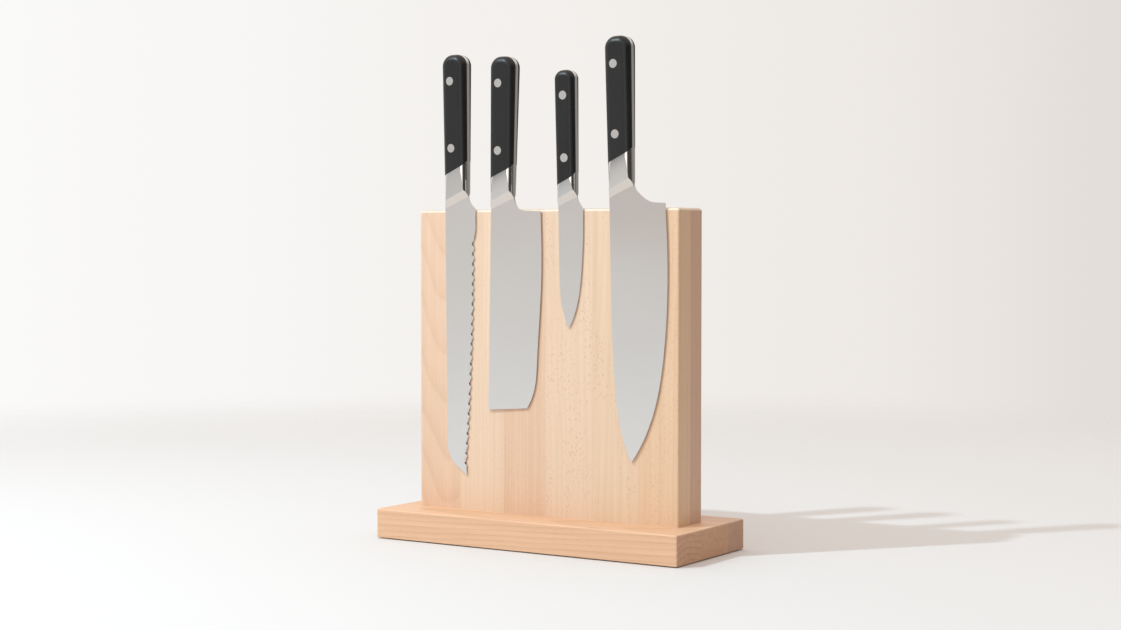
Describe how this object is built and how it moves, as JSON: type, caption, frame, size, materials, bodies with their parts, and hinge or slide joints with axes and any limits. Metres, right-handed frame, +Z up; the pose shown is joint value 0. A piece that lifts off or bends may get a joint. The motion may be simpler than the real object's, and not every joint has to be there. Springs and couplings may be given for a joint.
{
  "type": "magnetic knife block with knives",
  "caption": "Upright laminated beech panel on a low beech base; hidden magnets hold a bread knife, a nakiri, a paring knife and a chef's knife by their blades, riveted black handles up.",
  "frame": {"origin": "resting plane, under the middle of the base", "axes": "+Z up, +X to the right along the panel, -Y towards the knives"},
  "size_m": [0.288, 0.111, 0.4104],
  "materials": {
    "beech": "oiled satin",
    "blade_steel": "satin",
    "handle_polymer": "satin",
    "rivet_steel": "satin",
    "magnet": "nickel plated",
    "zinc_steel": "zinc plated",
    "foot_rubber": "matte"
  },
  "bodies": {
    "block": {"base_dowels": "beech", "base_screws": "zinc_steel", "base_stave_front": "beech", "base_stave_middle": "beech", "base_stave_rear": "beech", "foot_front_left": "foot_rubber", "foot_front_right": "foot_rubber", "foot_rear_left": "foot_rubber", "foot_rear_right": "foot_rubber", "magnets_front_lower": "magnet", "magnets_front_upper": "magnet", "magnets_rear_lower": "magnet", "magnets_rear_upper": "magnet", "panel_front_stave_1": "beech", "panel_front_stave_2": "beech", "panel_front_stave_3": "beech", "panel_front_stave_4": "beech", "panel_front_stave_5": "beech", "panel_front_stave_6": "beech", "panel_rear_stave_1": "beech", "panel_rear_stave_2": "beech", "panel_rear_stave_3": "beech", "panel_rear_stave_4": "beech", "panel_rear_stave_5": "beech", "panel_rear_stave_6": "beech"},
    "bread_knife": {"bread_knife_blade": "blade_steel", "bread_knife_rivets": "rivet_steel", "bread_knife_scale_front": "handle_polymer", "bread_knife_scale_rear": "handle_polymer"},
    "nakiri_knife": {"nakiri_knife_blade": "blade_steel", "nakiri_knife_rivets": "rivet_steel", "nakiri_knife_scale_front": "handle_polymer", "nakiri_knife_scale_rear": "handle_polymer"},
    "paring_knife": {"paring_knife_blade": "blade_steel", "paring_knife_rivets": "rivet_steel", "paring_knife_scale_front": "handle_polymer", "paring_knife_scale_rear": "handle_polymer"},
    "chef_knife": {"chef_knife_blade": "blade_steel", "chef_knife_rivets": "rivet_steel", "chef_knife_scale_front": "handle_polymer", "chef_knife_scale_rear": "handle_polymer"}
  },
  "joints": [
    {"name": "bread_knife_lift", "type": "slide", "parent": "block", "child": "bread_knife", "axis": [0, 0, 1], "range_m": [0, 0.24]},
    {"name": "nakiri_knife_lift", "type": "slide", "parent": "block", "child": "nakiri_knife", "axis": [0, 0, 1], "range_m": [0, 0.18]},
    {"name": "paring_knife_lift", "type": "slide", "parent": "block", "child": "paring_knife", "axis": [0, 0, 1], "range_m": [0, 0.11]},
    {"name": "chef_knife_lift", "type": "slide", "parent": "block", "child": "chef_knife", "axis": [0, 0, 1], "range_m": [0, 0.22]}
  ]
}
